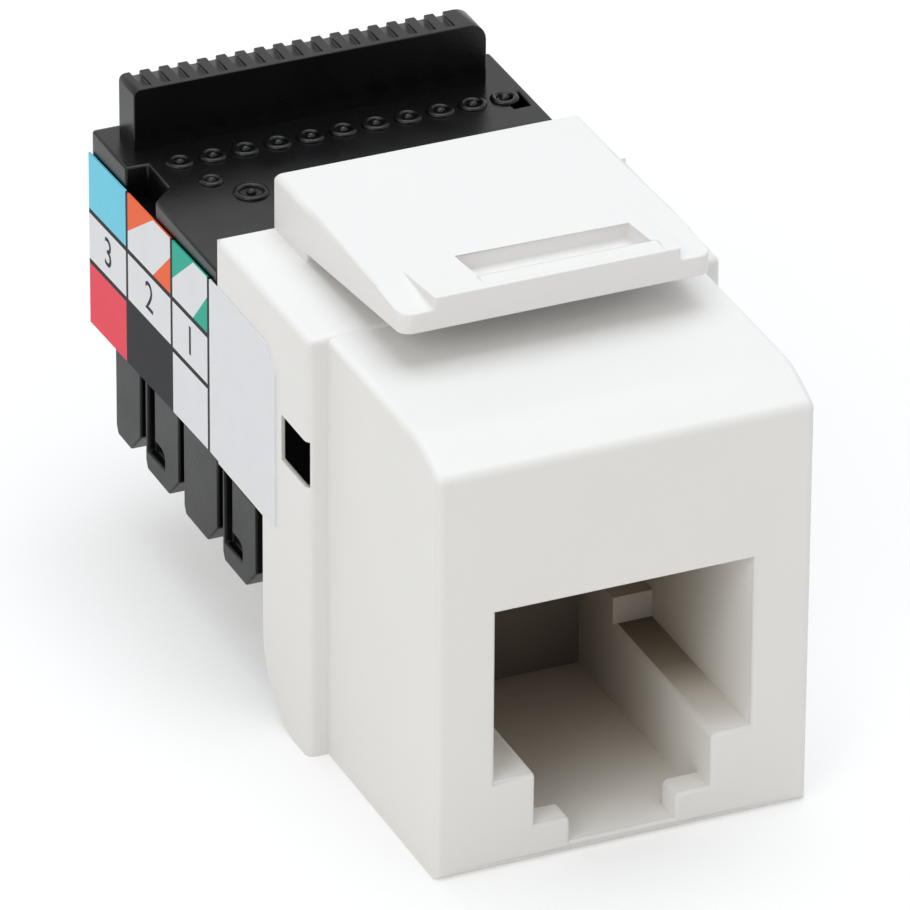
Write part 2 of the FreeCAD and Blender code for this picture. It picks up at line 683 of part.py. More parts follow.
def make_top_cover():
    """Lid over the board well, with the upright ribbed wall at the rear."""
    body = new_body("top_cover")
    rear = S.block_reach
    plate = [
        (-NOSE_SIDE, BLOCK_FRONT), (NOSE_SIDE, BLOCK_FRONT), (NOSE_SIDE, BLOCK_SHOULDER),
        (BLOCK_SIDE, BLOCK_SHOULDER), (BLOCK_SIDE, rear), (-BLOCK_SIDE, rear),
        (-BLOCK_SIDE, BLOCK_SHOULDER), (-NOSE_SIDE, BLOCK_SHOULDER),
    ]
    pad(body, "lid", "z", BLOCK_TOP, COVER_TOP, plate)
    dress(body, "Fillet", "lid_corner_rounds", S.block_round,
          lambda edge: edge_on(edge, y=rear, abs_x=BLOCK_SIDE))
    slab_side = S.slab_width / 2
    pad(body, "upright_wall", "z", COVER_TOP - S.cover_thickness / 2, COVER_TOP + S.slab_rise,
        rectangle(-slab_side, slab_side, SLAB_FRONT, SLAB_FRONT + S.slab_depth))
    skirt = BLOCK_INNER - S.board_gap
    pad(body, "board_press", "z", BOARD_TOP + S.board_gap / 3, BLOCK_TOP,
        rectangle(-skirt, skirt, SLAB_FRONT - S.slab_depth, rear - S.block_wall - S.board_gap))
    wall_top = COVER_TOP + S.slab_rise
    dress(body, "Fillet", "wall_round_left", S.slab_round_left,
          lambda edge: edge_on(edge, z=wall_top, x=-slab_side))
    dress(body, "Fillet", "wall_round_right", S.slab_round_right,
          lambda edge: edge_on(edge, z=wall_top, x=slab_side))
    slab_rear = SLAB_FRONT + S.slab_depth
    for number in range(SLAB_NOTCHES):
        step = S.slab_width / (SLAB_NOTCHES + 0.5)
        left = -slab_side + step * (number + 0.5)
        pocket(body, "wall_notch_%d" % (number + 1), "z", wall_top - S.notch_depth, wall_top,
               rectangle(left, left + S.notch_width, slab_rear - S.slab_depth / 2, slab_rear))
    notch_floor = -BLOCK_SIDE + S.side_notch_sink
    side_notch = [
        (-BLOCK_SIDE, S.side_notch_front), (notch_floor, S.side_notch_front + S.side_notch_sink),
        (notch_floor, S.side_notch_rear), (-BLOCK_SIDE, S.side_notch_rear),
    ]
    pocket(body, "side_notch", "z", BLOCK_TOP, COVER_TOP, side_notch)
    hole_edge = BLOCK_SIDE - S.lid_hole_edge
    pocket(body, "lid_hole", "z", BLOCK_TOP, COVER_TOP,
           rectangle(hole_edge - S.lid_hole_width, hole_edge,
                     S.lid_hole_front, S.lid_hole_front + S.lid_hole_length))
    return body


# ---------------------------------------------------------------- labels

def make_label(side_name, sign):
    """Paper label along one side, over the shell and the block, with one corner cut."""
    body = new_body("label_" + side_name)
    corner = S.label_corner
    rear = S.block_reach - S.label_rear
    low_edge = S.skirt_height + S.label_bottom
    top_edge = COVER_TOP - S.label_top
    side = [
        (S.label_front, low_edge), (rear, low_edge), (rear, top_edge),
        (S.label_front + corner, top_edge), (S.label_front, top_edge - corner),
    ]
    near_face = COLLAR_SIDE * sign
    far_face = (COLLAR_SIDE + S.label_thickness) * sign
    low, high = (far_face, near_face) if sign < 0 else (near_face, far_face)
    pad(body, "paper_" + side_name, "x", low, high, side)
    return body


# ---------------------------------------------------------------- build, check and write

pieces = [make_front_housing(), make_latch_arm(), make_contact_carrier(), make_contact_leads()]
pieces += [make_contact_spring(number) for number in range(CONTACTS)]
pieces += [make_circuit_board(), make_connector_block(), make_top_cover()]
for side_name, sign in (("left", -1), ("right", 1)):
    pieces += [make_blade(side_name, sign, number) for number in range(PER_SIDE)]
    pieces.append(make_label(side_name, sign))
doc.recompute()

for thing in doc.Objects:
    if "Invalid" in thing.State or "Error" in thing.State:
        raise RuntimeError("failed: " + thing.Label)

os.makedirs("parts", exist_ok=True)
for piece in pieces:
    shape = piece.Shape
    if shape.isNull() or not shape.isValid() or not shape.Solids:
        raise RuntimeError("bad shape: " + piece.Label)
    shape.exportStep("parts/%s.step" % piece.Label)
    print("%-18s solids %d volume %8.3f" % (piece.Label, len(shape.Solids), shape.Volume))
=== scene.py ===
"""Looks of the keystone jack: camera, light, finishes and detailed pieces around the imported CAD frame.

All lengths are in metres; MM turns a length in millimetres into metres.
+X is to the right seen from the front, +Y the way the plug goes in, +Z up.
"""
import json
import math

import bmesh
import bpy
from mathutils import Matrix, Vector


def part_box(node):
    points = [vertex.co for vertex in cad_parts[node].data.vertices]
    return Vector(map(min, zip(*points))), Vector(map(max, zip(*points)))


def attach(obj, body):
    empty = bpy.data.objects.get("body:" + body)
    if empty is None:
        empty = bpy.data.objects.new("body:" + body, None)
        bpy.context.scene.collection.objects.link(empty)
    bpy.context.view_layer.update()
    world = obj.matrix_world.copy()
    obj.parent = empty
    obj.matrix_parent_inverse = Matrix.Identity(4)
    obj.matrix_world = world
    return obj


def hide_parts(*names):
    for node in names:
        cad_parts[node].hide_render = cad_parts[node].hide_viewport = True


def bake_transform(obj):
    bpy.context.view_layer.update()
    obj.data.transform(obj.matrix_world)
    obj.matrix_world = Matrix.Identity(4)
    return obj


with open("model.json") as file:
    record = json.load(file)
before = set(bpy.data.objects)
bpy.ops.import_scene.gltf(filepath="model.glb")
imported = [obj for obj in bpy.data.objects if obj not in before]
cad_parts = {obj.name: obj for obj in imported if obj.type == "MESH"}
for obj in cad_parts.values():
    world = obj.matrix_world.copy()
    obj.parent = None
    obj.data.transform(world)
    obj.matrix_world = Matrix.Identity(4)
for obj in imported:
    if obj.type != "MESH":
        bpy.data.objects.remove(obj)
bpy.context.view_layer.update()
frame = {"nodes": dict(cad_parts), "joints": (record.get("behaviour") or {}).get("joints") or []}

MM = 0.001
HAIR = 0.004 * MM
TOUCH = 0.0005 * MM

CONTACTS = 6
PER_SIDE = 3


# ---------------------------------------------------------------- places read from the frame

HOUSING_LOW, HOUSING_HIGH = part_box("front_housing")
ARM_LOW, ARM_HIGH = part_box("latch_arm")
COVER_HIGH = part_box("top_cover")[1]
LABEL_LOW, LABEL_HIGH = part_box("label_left")
HINGE = Vector(next(j for j in frame["joints"] if j["name"] == "latch_flex")["pos_m"])
FRONT = HOUSING_LOW[1]
PORT_DEPTH = 11.45 * MM


# ---------------------------------------------------------------- camera

AZIMUTH = math.radians(-23.81)
ELEVATION = math.radians(29.18)
ROLL = math.radians(0.34)
DISTANCE = 396.1 * MM
LENS = 435.9
AIM = Vector((-1.396, 2.119, 9.966)) * MM


def make_camera():
    """A long lens, a little to the left of the port and well above it."""
    back = Vector((math.sin(AZIMUTH) * math.cos(ELEVATION),
                   -math.cos(AZIMUTH) * math.cos(ELEVATION),
                   math.sin(ELEVATION)))
    right = Vector((math.cos(AZIMUTH), math.sin(AZIMUTH), 0))
    up = back.cross(right)
    right, up = (right * math.cos(ROLL) + up * math.sin(ROLL),
                 up * math.cos(ROLL) - right * math.sin(ROLL))
    data = bpy.data.cameras.new("camera")
    data.lens = LENS
    data.sensor_width = 36
    data.clip_start = 10 * MM
    camera = bpy.data.objects.new("camera", data)
    bpy.context.scene.collection.objects.link(camera)
    turn = Matrix((right, up, back)).transposed().to_4x4()
    camera.matrix_world = Matrix.Translation(AIM + back * DISTANCE) @ turn
    bpy.context.scene.camera = camera


# ---------------------------------------------------------------- shader helpers

def new_material(name):
    """An empty node material with its Principled shader already joined to the output."""
    material = bpy.data.materials.new(name)
    material.use_nodes = True
    tree = material.node_tree
    shader = tree.nodes["Principled BSDF"]
    return material, tree, shader


def node(tree, kind, **settings):
    made = tree.nodes.new(kind)
    for key, value in settings.items():
        setattr(made, key, value)
    return made


def object_noise(tree, scale, detail=3.0, roughness=0.55):
    """Noise over Object coordinates; scale counts features in a metre."""
    where = node(tree, "ShaderNodeTexCoord")
    noise = node(tree, "ShaderNodeTexNoise")
    noise.inputs["Scale"].default_value = scale
    noise.inputs["Detail"].default_value = detail
    noise.inputs["Roughness"].default_value = roughness
    tree.links.new(where.outputs["Object"], noise.inputs["Vector"])
    return noise


def ramp(tree, source, stops):
    """Colour ramp; stops are (position, colour) pairs."""
    made = node(tree, "ShaderNodeValToRGB")
    band = made.color_ramp
    band.elements[0].position, band.elements[0].color = stops[0]
    band.elements[1].position, band.elements[1].color = stops[-1]
    for position, colour in stops[1:-1]:
        band.elements.new(position).color = colour
    tree.links.new(source, made.inputs["Fac"])
    return made


def bump(tree, shader, source, strength, depth):
    made = node(tree, "ShaderNodeBump")
    made.inputs["Strength"].default_value = strength
    made.inputs["Distance"].default_value = depth
    tree.links.new(source, made.inputs["Height"])
    tree.links.new(made.outputs["Normal"], shader.inputs["Normal"])


def grey(value):
    return (value, value, value, 1)


def shade(colour, factor):
    return tuple(min(1.0, channel * factor) for channel in colour) + (1,)


# ---------------------------------------------------------------- finishes

def moulded_plastic(name, colour, gloss, mottle, grain, grain_size):
    """Moulded plastic: faint flow marks in the colour, uneven polish and a fine surface grain."""
    material, tree, shader = new_material(name)
    flow = object_noise(tree, 180, 4)
    tint = ramp(tree, flow.outputs["Fac"],
                [(0.3, shade(colour, 1 - mottle)), (0.7, shade(colour, 1 + mottle))])
    tree.links.new(tint.outputs["Color"], shader.inputs["Base Color"])
    polish = object_noise(tree, 420, 2)
    rough = ramp(tree, polish.outputs["Fac"], [(0.3, grey(gloss - 0.05)), (0.7, grey(gloss + 0.05))])
    tree.links.new(rough.outputs["Color"], shader.inputs["Roughness"])
    skin = object_noise(tree, 1 / (grain_size * MM), 3)
    bump(tree, shader, skin.outputs["Fac"], grain, grain_size * 0.1 * MM)
    return material, shader


def white_plastic():
    material, shader = moulded_plastic("white_plastic", (0.83, 0.815, 0.805), 0.42, 0.008, 0.12, 0.25)
    shader.inputs["Subsurface Weight"].default_value = 0.05
    shader.inputs["Subsurface Radius"].default_value = (1.0, 0.9, 0.8)
    shader.inputs["Subsurface Scale"].default_value = 0.2 * MM
    shader.inputs["Specular IOR Level"].default_value = 0.35
    return material


def port_plastic(name, stops):
    """The white moulding's dull skin inside the port, with painted shade: its colour darkens and warms with
    depth, standing in for the shade that falls deep in the port.
    """
    material, tree, shader = new_material(name)
    where = node(tree, "ShaderNodeTexCoord")
    parts = node(tree, "ShaderNodeSeparateXYZ")
    tree.links.new(where.outputs["Object"], parts.inputs["Vector"])
    depth = node(tree, "ShaderNodeMapRange")
    depth.inputs["From Min"].default_value = FRONT
    depth.inputs["From Max"].default_value = FRONT + PORT_DEPTH
    tree.links.new(parts.outputs["Y"], depth.inputs["Value"])
    tint = ramp(tree, depth.outputs["Result"], stops)
    tree.links.new(tint.outputs["Color"], shader.inputs["Base Color"])
    shader.inputs["Roughness"].default_value = 0.6
    shader.inputs["Specular IOR Level"].default_value = 0.2
    skin = object_noise(tree, 4000, 3)
    bump(tree, shader, skin.outputs["Fac"], 0.12, 0.025 * MM)
    return material


def black_plastic(name, shine):
    material, shader = moulded_plastic(name, (0.0026, 0.0026, 0.003), 0.28, 0.2, 0.3, 0.16)
    shader.inputs["Specular IOR Level"].default_value = shine
    return material


def plain_plastic(name, colour, gloss, shine):
    material, shader = moulded_plastic(name, colour, gloss, 0.06, 0.15, 0.2)
    shader.inputs["Specular IOR Level"].default_value = shine
    return material


def wire_metal(name, colour, gloss):
    """Plated wire or sheet with fine drawing marks along its length."""
    material, tree, shader = new_material(name)
    marks = object_noise(tree, 2600, 2)
    tint = ramp(tree, marks.outputs["Fac"], [(0.3, shade(colour, 0.95)), (0.7, shade(colour, 1.04))])
    tree.links.new(tint.outputs["Color"], shader.inputs["Base Color"])
    rough = ramp(tree, marks.outputs["Fac"], [(0.3, grey(gloss)), (0.7, grey(gloss + 0.06))])
    tree.links.new(rough.outputs["Color"], shader.inputs["Roughness"])
    shader.inputs["Metallic"].default_value = 0.85
    bump(tree, shader, marks.outputs["Fac"], 0.04, 0.004 * MM)
    return material


def board_lacquer():
    material, tree, shader = new_material("board_lacquer")
    weave = object_noise(tree, 1500, 2)
    tint = ramp(tree, weave.outputs["Fac"],
                [(0.35, (0.012, 0.10, 0.045, 1)), (0.65, (0.02, 0.15, 0.07, 1))])
    tree.links.new(tint.outputs["Color"], shader.inputs["Base Color"])
    shader.inputs["Roughness"].default_value = 0.3
    bump(tree, shader, weave.outputs["Fac"], 0.1, 0.02 * MM)
    return material


def label_ink(name, colour):
    """Printed film: flat ink with a faint unevenness and a soft gloss."""
    material, tree, shader = new_material("label_" + name)
    spread = object_noise(tree, 900, 3)
    tint = ramp(tree, spread.outputs["Fac"], [(0.3, shade(colour, 0.985)), (0.7, shade(colour, 1.015))])
    tree.links.new(tint.outputs["Color"], shader.inputs["Base Color"])
    shader.inputs["Roughness"].default_value = 0.5
    shader.inputs["Specular IOR Level"].default_value = 0.12
    bump(tree, shader, spread.outputs["Fac"], 0.03, 0.01 * MM)
    return material


WHITE = white_plastic()
# painted shade: the port's walls and floor are painted darker and warmer towards the rear
PORT_PAINTED_SHADE = port_plastic("port_plastic", [
    (0.0, (0.94, 0.93, 0.91, 1)), (0.18, (0.88, 0.86, 0.83, 1)),
    (0.5, (0.62, 0.58, 0.53, 1)), (1.0, (0.38, 0.33, 0.28, 1)),
])
# painted shade on the shoulder tops, darker still towards the stop
SHOULDER_PAINTED_SHADE = port_plastic("shoulder_painted_shade", [
    (0.0, (0.94, 0.93, 0.91, 1)), (0.25, (0.78, 0.74, 0.69, 1)),
    (0.45, (0.34, 0.29, 0.24, 1)), (0.75, (0.14, 0.11, 0.08, 1)),
])
BLACK = black_plastic("block_black", 0.17)
COVER_BLACK = black_plastic("cover_black", 0.32)
# painted shade: the barb faces are made dull and unreflecting so they read as the shade of a deep window
BARB_BLACK_PAINTED_SHADE = plain_plastic("barb_black_painted_shade", (0.002, 0.002, 0.002), 0.7, 0.0)
# painted shade: dark warm brown for the plate at the back of the port, standing in for the deep shade there
PORT_BACK_PAINTED_SHADE = plain_plastic("port_back", (0.19, 0.16, 0.135), 0.7, 0.1)
GOLD = wire_metal("gold_plate", (0.83, 0.58, 0.24), 0.22)
TIN = wire_metal("tin_plate", (0.72, 0.72, 0.70), 0.28)
BOARD = board_lacquer()
INK = {
    "paper": label_ink("paper", (0.79, 0.80, 0.84)),
    "line": label_ink("line", (0.012, 0.012, 0.015)),
    "blue": label_ink("blue", (0.18, 0.65, 0.85)),
    "orange": label_ink("orange", (0.90, 0.14, 0.045)),
    "green": label_ink("green", (0.022, 0.43, 0.31)),
    "red": label_ink("red", (0.87, 0.07, 0.11)),
    "brown": label_ink("brown", (0.20, 0.08, 0.035)),
}


# ---------------------------------------------------------------- modelling helpers

def object_mode():
    if bpy.context.mode != "OBJECT":
        bpy.ops.object.mode_set(mode="OBJECT")


def only(*objects):
    """Deselects everything, then selects the objects given and activates the first."""
    object_mode()
    bpy.ops.object.select_all(action="DESELECT")
    for obj in objects:
        obj.select_set(True)
    if objects:
        bpy.context.view_layer.objects.active = objects[0]


def apply_modifiers(obj):
    only(obj)
    for modifier in list(obj.modifiers):
        bpy.ops.object.modifier_apply(modifier=modifier.name)


def soften(obj, width, segments=3, angle=35):
    """Rounds the edges that turn by more than angle."""
    edge = obj.modifiers.new("edge_round", "BEVEL")
    edge.limit_method = "ANGLE"
    edge.angle_limit = math.radians(angle)
    edge.width = width
    edge.segments = segments
    edge.use_clamp_overlap = False
    apply_modifiers(obj)
    return even_out(obj, angle)


def even_out(obj, angle=35):
    """Shades round stretches smooth and keeps the flat faces shaded flat."""
    only(obj)
    bpy.ops.object.shade_smooth_by_angle(angle=math.radians(angle))
    even = obj.modifiers.new("even_shading", "WEIGHTED_NORMAL")
    even.keep_sharp = True
    apply_modifiers(obj)
    return obj


def finish_piece(obj, body, material, slot, *nodes):
    """Gives a piece its material and its body, and hides the CAD nodes that it stands for; slot is not used.
    """
    if material is not None:
        obj.data.materials.clear()
        obj.data.materials.append(material)
    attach(obj, body)
    if nodes:
        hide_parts(*nodes)
    return obj


def tidy_mesh(obj):
    """Merges doubled corners and makes flat faces whole."""
    only(obj)
    bpy.ops.object.mode_set(mode="EDIT")
    bpy.ops.mesh.select_all(action="SELECT")
    bpy.ops.mesh.remove_doubles(threshold=HAIR)
    bpy.ops.mesh.dissolve_limited(angle_limit=math.radians(0.5))
    bpy.ops.object.mode_set(mode="OBJECT")


def merged_copy(node_name, name):
    """The CAD node's solid as a clean mesh: corners merged and flat faces made whole."""
    only(frame["nodes"][node_name])
    bpy.ops.object.duplicate()
    obj = bpy.context.active_object
    obj.name = name
    obj.parent = None
    obj.matrix_world = Matrix.Identity(4)
    tidy_mesh(obj)
    return obj


def settle(obj):
    """Puts a primitive's place, turn and size into its mesh."""
    only(obj)
    bpy.ops.object.transform_apply(location=True, rotation=True, scale=True)
    return obj


def block(name, low, high):
    """A box mesh between two corners."""
    only()
    middle = (Vector(low) + Vector(high)) / 2
    size = Vector(high) - Vector(low)
    bpy.ops.mesh.primitive_cube_add(size=1, location=middle, scale=size)
    obj = bpy.context.active_object
    obj.name = name
    return settle(obj)


def pick_faces(obj, wanted):
    """Enters edit mode with only the faces for which wanted(face) is true selected."""
    only(obj)
    bpy.ops.object.mode_set(mode="EDIT")
    bpy.ops.mesh.select_mode(type="FACE")
    bpy.ops.mesh.select_all(action="DESELECT")
    mesh = bmesh.from_edit_mesh(obj.data)
    for face in mesh.faces:
        if wanted(face):
            face.select_set(True)
    bmesh.update_edit_mesh(obj.data)


def pick_edges(obj, wanted, turn=0):
    """Enters edit mode with the wanted(start, end) edges that turn by turn degrees or more selected."""
    only(obj)
    bpy.ops.object.mode_set(mode="EDIT")
    bpy.ops.mesh.select_mode(type="EDGE")
    bpy.ops.mesh.select_all(action="DESELECT")
    mesh = bmesh.from_edit_mesh(obj.data)
    for edge in mesh.edges:
        if edge.calc_face_angle(0) >= math.radians(turn) and wanted(*(corner.co for corner in edge.verts)):
            edge.select_set(True)
    bmesh.update_edit_mesh(obj.data)


def pick_corners(obj, wanted):
    """Enters edit mode with only the corners for which wanted(place) is true selected."""
    only(obj)
    bpy.ops.object.mode_set(mode="EDIT")
    bpy.ops.mesh.select_mode(type="VERT")
    bpy.ops.mesh.select_all(action="DESELECT")
    mesh = bmesh.from_edit_mesh(obj.data)
    for vertex in mesh.verts:
        if wanted(vertex.co):
            vertex.select_set(True)
    bmesh.update_edit_mesh(obj.data)


def every(_):
    return True


def cut(obj, place, normal, clear=False, faces=every):
    """Bisects the picked faces by a plane; with clear, what lies beyond it goes and the hole is closed."""
    pick_faces(obj, faces)
    bpy.ops.mesh.bisect(plane_co=place, plane_no=normal, clear_outer=clear, use_fill=clear, threshold=TOUCH)
    bpy.ops.object.mode_set(mode="OBJECT")


def shift(obj, wanted, move):
    """Moves the corners for which wanted(place) is true."""
    pick_corners(obj, wanted)
    bpy.ops.transform.translate(value=move)
    bpy.ops.object.mode_set(mode="OBJECT")


def round_edges(obj, width, segments, wanted, turn=0):
    """Rounds only the wanted(start, end) edges that turn by turn degrees or more."""
    pick_edges(obj, wanted, turn)
    bpy.ops.mesh.bevel(offset=width, offset_type="OFFSET", segments=segments, affect="EDGES")
    bpy.ops.object.mode_set(mode="OBJECT")


def combine(obj, tool, operation):
    """Joins a closed tool piece to a piece, or cuts it out of the piece, and removes the tool."""
    step = obj.modifiers.new("combine", "BOOLEAN")
    step.object = tool
    step.operation = operation
    step.solver = "EXACT"
    apply_modifiers(obj)
    bpy.data.objects.remove(tool, do_unlink=True)
    return obj


def at(value, place):
    return abs(value - place) < HAIR


def both_at(first, second, place):
    return at(first, place) and at(second, place)


# ---------------------------------------------------------------- white housing

SHELL_REAR = HOUSING_HIGH[1]
COLLAR_SIDE = 8.05 * MM
COLLAR_TOP = 17.1 * MM
COLLAR_DEPTH = 4.15 * MM
COLLAR_CORNER = 3.2 * MM
SKIRT = 7.9 * MM
SHELL_WALL = 0.95 * MM
BODY_SIDE = 7.25 * MM
BODY_TOP = 17.0 * MM
NOSE_RUN, NOSE_DROP = 1.9 * MM, 0.8 * MM
EDGE_ROUND = 0.3 * MM
MOUTH_ROUND = 0.2 * MM
REAR_ROUND = 0.12 * MM

PORT_SIDE = 4.97 * MM
PORT_FLOOR, PORT_BOTTOM, PORT_TOP = 0.45 * MM, 3.6 * MM, 10.43 * MM
SHOULDER_SIDE = 3.41 * MM
LEVER_SIDE = 2.04 * MM
LIP_TOP, LIP_RUN = 1.45 * MM, 1.1 * MM
STOP_DEPTH, STOP_HEIGHT = 8.5 * MM, 1.1 * MM
PORT_REAR = FRONT + PORT_DEPTH
ROOF_TOP = 11.3 * MM
CHAMBER_SIDE, CHAMBER_FRONT = 5.2 * MM, 1.7 * MM
COMB_SIDE, COMB_FRONT, COMB_REAR = 3.2 * MM, 1.9 * MM, 9.9 * MM
WINDOW_FRONT, WINDOW_REAR = 0.06 * MM, 2.38 * MM
WINDOW_BOTTOM, WINDOW_TOP = 11.1 * MM, 12.95 * MM
WINDOW_FLOOR = 6.38 * MM


def carve(obj, side, front, rear, low, high):
    """Cuts a box that is as wide to the left as to the right out of a piece."""
    return combine(obj, block("carve", (-side, front, low), (side, rear, high)), "DIFFERENCE")


def make_plate_block():
    """The block that passes through the wall plate, with its sloped nose."""
    body = block("plate_block", (-BODY_SIDE, FRONT, 0), (BODY_SIDE, LIP_RUN, BODY_TOP))
    cut(body, (0, FRONT, BODY_TOP - NOSE_DROP), (0, -NOSE_DROP, NOSE_RUN), clear=True)

    def nose_bend(a, b):
        return both_at(a.y, b.y, FRONT + NOSE_RUN) and at(a.z, b.z)
    round_edges(body, 2 * EDGE_ROUND, 5, nose_bend)

    def outer(a, b):
        on_side = at(abs(a.x), BODY_SIDE) and at(a.x, b.x)
        in_front = both_at(a.y, b.y, FRONT)
        return (on_side and a.z + b.z > HAIR and min(a.y, b.y) < 0) or in_front
    round_edges(body, EDGE_ROUND, 4, outer)
    return body


def make_collar():
    """The collar with the shell behind it, rounded where the collar ends below."""
    collar = block("housing_shell", (-COLLAR_SIDE, 0, 0), (COLLAR_SIDE, SHELL_REAR, COLLAR_TOP))
    carve(collar, COLLAR_SIDE + MM, COLLAR_DEPTH, SHELL_REAR + MM, -MM, SKIRT)
    round_edges(collar, COLLAR_CORNER, 12,
                lambda a, b: both_at(a.y, b.y, COLLAR_DEPTH) and both_at(a.z, b.z, 0))

    def behind(a, b):
        return both_at(a.y, b.y, SHELL_REAR) and a.z + b.z > 2 * SKIRT + HAIR
    round_edges(collar, REAR_ROUND, 3, behind)

    def outer(a, b):
        on_side = at(abs(a.x), COLLAR_SIDE) and at(a.x, b.x)
        upright = on_side and both_at(a.y, b.y, 0)
        on_top = both_at(a.z, b.z, COLLAR_TOP) and min(a.y, b.y) < SHELL_REAR - MM
        return upright or on_top
    round_edges(collar, EDGE_ROUND, 4, outer)
    return collar


def make_housing():
    """The white moulding; the latch's root belongs to the latch piece."""
    shell = make_collar()
    combine(shell, make_plate_block(), "UNION")
    mouth_rear = FRONT + LIP_RUN
    carve(shell, LEVER_SIDE, FRONT - MM, mouth_rear + HAIR, PORT_FLOOR, PORT_TOP)
    carve(shell, SHOULDER_SIDE, FRONT - MM, mouth_rear + HAIR, LIP_TOP, PORT_TOP)
    carve(shell, PORT_SIDE, FRONT - MM, FRONT + STOP_DEPTH, PORT_BOTTOM, PORT_TOP)
    carve(shell, PORT_SIDE, FRONT + STOP_DEPTH - HAIR, PORT_REAR + HAIR, PORT_BOTTOM + STOP_HEIGHT, PORT_TOP)
    carve(shell, SHOULDER_SIDE, mouth_rear, PORT_REAR + HAIR, PORT_FLOOR, PORT_TOP)
    carve(shell, COLLAR_SIDE - SHELL_WALL, PORT_REAR, SHELL_REAR + MM,
          PORT_FLOOR, COLLAR_TOP - SHELL_WALL)
    carve(shell, CHAMBER_SIDE, FRONT + CHAMBER_FRONT, PORT_REAR + HAIR,
          ROOF_TOP, COLLAR_TOP - SHELL_WALL)
    carve(shell, COMB_SIDE, FRONT + COMB_FRONT, FRONT + COMB_REAR, PORT_TOP - HAIR, ROOF_TOP + HAIR)
    for sign in (-1, 1):
        near, far = sorted((WINDOW_FLOOR * sign, (COLLAR_SIDE + MM) * sign))
        window = block("window", (near, WINDOW_FRONT, WINDOW_BOTTOM), (far, WINDOW_REAR, WINDOW_TOP))
        combine(shell, window, "DIFFERENCE")
    tidy_mesh(shell)

    def mouth(a, b):
        in_face = both_at(a.y, b.y, FRONT) and max(abs(a.x), abs(b.x)) < PORT_SIDE + HAIR
        on_lip = at(abs(a.x), LEVER_SIDE) and at(a.x, b.x) and both_at(a.z, b.z, LIP_TOP)
        on_step = at(abs(a.x), SHOULDER_SIDE) and at(a.x, b.x) and both_at(a.z, b.z, PORT_BOTTOM)
        return in_face or on_lip or on_step
    round_edges(shell, MOUTH_ROUND, 3, mouth)
    even_out(shell)
    finish_piece(shell, "housing", WHITE, "housing_plastic", "front_housing")
    shell.data.materials.append(PORT_PAINTED_SHADE)
    shell.data.materials.append(SHOULDER_PAINTED_SHADE)
    for face in shell.data.polygons:
        middle = face.center
        # shoulder tops get the stronger painted shade
        if at(middle.z, PORT_BOTTOM) and middle.y < FRONT + STOP_DEPTH:
            face.material_index = 2
            continue
        # the rest of the port's inside gets the painted depth shade
        on_foot_bend = face.normal.y > 0.05 and face.normal.z < -0.05
        inside = (FRONT + EDGE_ROUND < middle.y < SHELL_REAR - EDGE_ROUND
                  and PORT_FLOOR - HAIR < middle.z < PORT_TOP + HAIR
                  and abs(middle.x) < PORT_SIDE + HAIR)
        if inside and not on_foot_bend:
            face.material_index = 1
    return shell


# ---------------------------------------------------------------- plate latch

SLOT_LEFT, SLOT_RIGHT = -2.4 * MM, 4.3 * MM
LIP_DEPTH, LIP_ROOT = 1.1 * MM, 0.12 * MM
SLOT_DEPTH = 2.0 * MM
SLOT_SINK = 0.66 * MM
RAMP_RUN = 2.9 * MM
LUG_WIDTH = 1.25 * MM
LUG_STEP = 0.15 * MM
LATCH_ROUND = 0.3 * MM
TIP_ROUND = 0.5 * MM
LIP_ROUND = 0.3 * MM
RIM_ROUND = 0.07 * MM
LATCH_TOP = HOUSING_HIGH[2]
TIP_UNDER = 18.4 * MM


